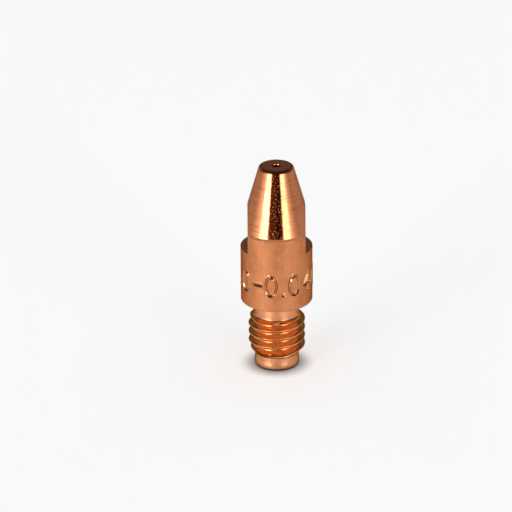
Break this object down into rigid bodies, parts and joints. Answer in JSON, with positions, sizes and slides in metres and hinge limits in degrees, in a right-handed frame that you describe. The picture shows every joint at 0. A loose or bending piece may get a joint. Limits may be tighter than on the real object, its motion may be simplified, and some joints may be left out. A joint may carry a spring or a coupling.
{
  "type": "welding contact tip",
  "caption": "Turned copper contact tip for a welding torch, with a tapered nose, wrench flats, a threaded stub and a wire bore through its axis.",
  "frame": {"origin": "centre of the rear end face, which the tip stands on", "axes": "+Z along the wire bore towards the nose, +X out of one wrench flat"},
  "size_m": [0.01, 0.01, 0.03],
  "materials": {
    "copper_alloy": "turned copper, polished on the taper and satin on the drawn bar"
  },
  "bodies": {
    "root": {"contact_tip": "copper_alloy"}
  },
  "joints": []
}
